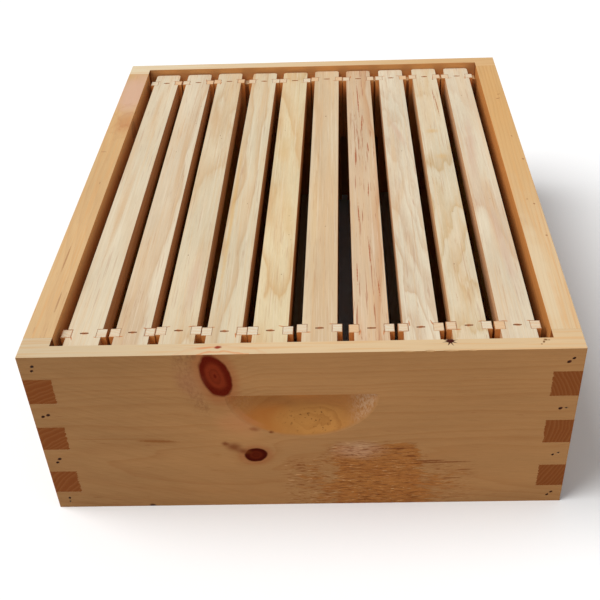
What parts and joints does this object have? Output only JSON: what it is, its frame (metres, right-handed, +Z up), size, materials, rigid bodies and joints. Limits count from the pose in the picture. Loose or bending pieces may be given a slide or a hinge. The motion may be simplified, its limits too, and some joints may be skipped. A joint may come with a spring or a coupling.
{
  "type": "beehive super",
  "caption": "Wooden honey super of a beehive: an open box with finger-jointed corners and scooped hand-holds, holding a row of hanging self-spacing frames of wax foundation that lift out.",
  "frame": {"origin": "centre of the rectangle that the box stands on, at the height of its foot", "axes": "+Z up; +Y from the front end board to the back end board, along the frames; +X to the right seen from the front"},
  "size_m": [0.419, 0.5112, 0.1683],
  "materials": {
    "box_wood": "bare sawn and planed pine",
    "frame_wood": "bare planed pine",
    "beeswax": "embossed natural beeswax",
    "staple_wire": "dull galvanised"
  },
  "bodies": {
    "hive_box": {"front_board": "box_wood", "back_board": "box_wood", "left_side_board": "box_wood", "right_side_board": "box_wood", "box_staples": "staple_wire"},
    "frame_01": {"top_bar_01": "frame_wood", "end_bars_01": "frame_wood", "bottom_bar_01": "frame_wood", "foundation_01": "beeswax", "frame_staples_01": "staple_wire"},
    "frame_02": {"top_bar_02": "frame_wood", "end_bars_02": "frame_wood", "bottom_bar_02": "frame_wood", "foundation_02": "beeswax", "frame_staples_02": "staple_wire"},
    "frame_03": {"top_bar_03": "frame_wood", "end_bars_03": "frame_wood", "bottom_bar_03": "frame_wood", "foundation_03": "beeswax", "frame_staples_03": "staple_wire"},
    "frame_04": {"top_bar_04": "frame_wood", "end_bars_04": "frame_wood", "bottom_bar_04": "frame_wood", "foundation_04": "beeswax", "frame_staples_04": "staple_wire"},
    "frame_05": {"top_bar_05": "frame_wood", "end_bars_05": "frame_wood", "bottom_bar_05": "frame_wood", "foundation_05": "beeswax", "frame_staples_05": "staple_wire"},
    "frame_06": {"top_bar_06": "frame_wood", "end_bars_06": "frame_wood", "bottom_bar_06": "frame_wood", "foundation_06": "beeswax", "frame_staples_06": "staple_wire"},
    "frame_07": {"top_bar_07": "frame_wood", "end_bars_07": "frame_wood", "bottom_bar_07": "frame_wood", "foundation_07": "beeswax", "frame_staples_07": "staple_wire"},
    "frame_08": {"top_bar_08": "frame_wood", "end_bars_08": "frame_wood", "bottom_bar_08": "frame_wood", "foundation_08": "beeswax", "frame_staples_08": "staple_wire"},
    "frame_09": {"top_bar_09": "frame_wood", "end_bars_09": "frame_wood", "bottom_bar_09": "frame_wood", "foundation_09": "beeswax", "frame_staples_09": "staple_wire"},
    "frame_10": {"top_bar_10": "frame_wood", "end_bars_10": "frame_wood", "bottom_bar_10": "frame_wood", "foundation_10": "beeswax", "frame_staples_10": "staple_wire"}
  },
  "joints": [
    {"name": "frame_01_lift", "type": "slide", "parent": "hive_box", "child": "frame_01", "axis": [0, 0, 1], "range_m": [0, 0.2]},
    {"name": "frame_02_lift", "type": "slide", "parent": "hive_box", "child": "frame_02", "axis": [0, 0, 1], "range_m": [0, 0.2]},
    {"name": "frame_03_lift", "type": "slide", "parent": "hive_box", "child": "frame_03", "axis": [0, 0, 1], "range_m": [0, 0.2]},
    {"name": "frame_04_lift", "type": "slide", "parent": "hive_box", "child": "frame_04", "axis": [0, 0, 1], "range_m": [0, 0.2]},
    {"name": "frame_05_lift", "type": "slide", "parent": "hive_box", "child": "frame_05", "axis": [0, 0, 1], "range_m": [0, 0.2]},
    {"name": "frame_06_lift", "type": "slide", "parent": "hive_box", "child": "frame_06", "axis": [0, 0, 1], "range_m": [0, 0.2]},
    {"name": "frame_07_lift", "type": "slide", "parent": "hive_box", "child": "frame_07", "axis": [0, 0, 1], "range_m": [0, 0.2]},
    {"name": "frame_08_lift", "type": "slide", "parent": "hive_box", "child": "frame_08", "axis": [0, 0, 1], "range_m": [0, 0.2]},
    {"name": "frame_09_lift", "type": "slide", "parent": "hive_box", "child": "frame_09", "axis": [0, 0, 1], "range_m": [0, 0.2]},
    {"name": "frame_10_lift", "type": "slide", "parent": "hive_box", "child": "frame_10", "axis": [0, 0, 1], "range_m": [0, 0.2]}
  ]
}
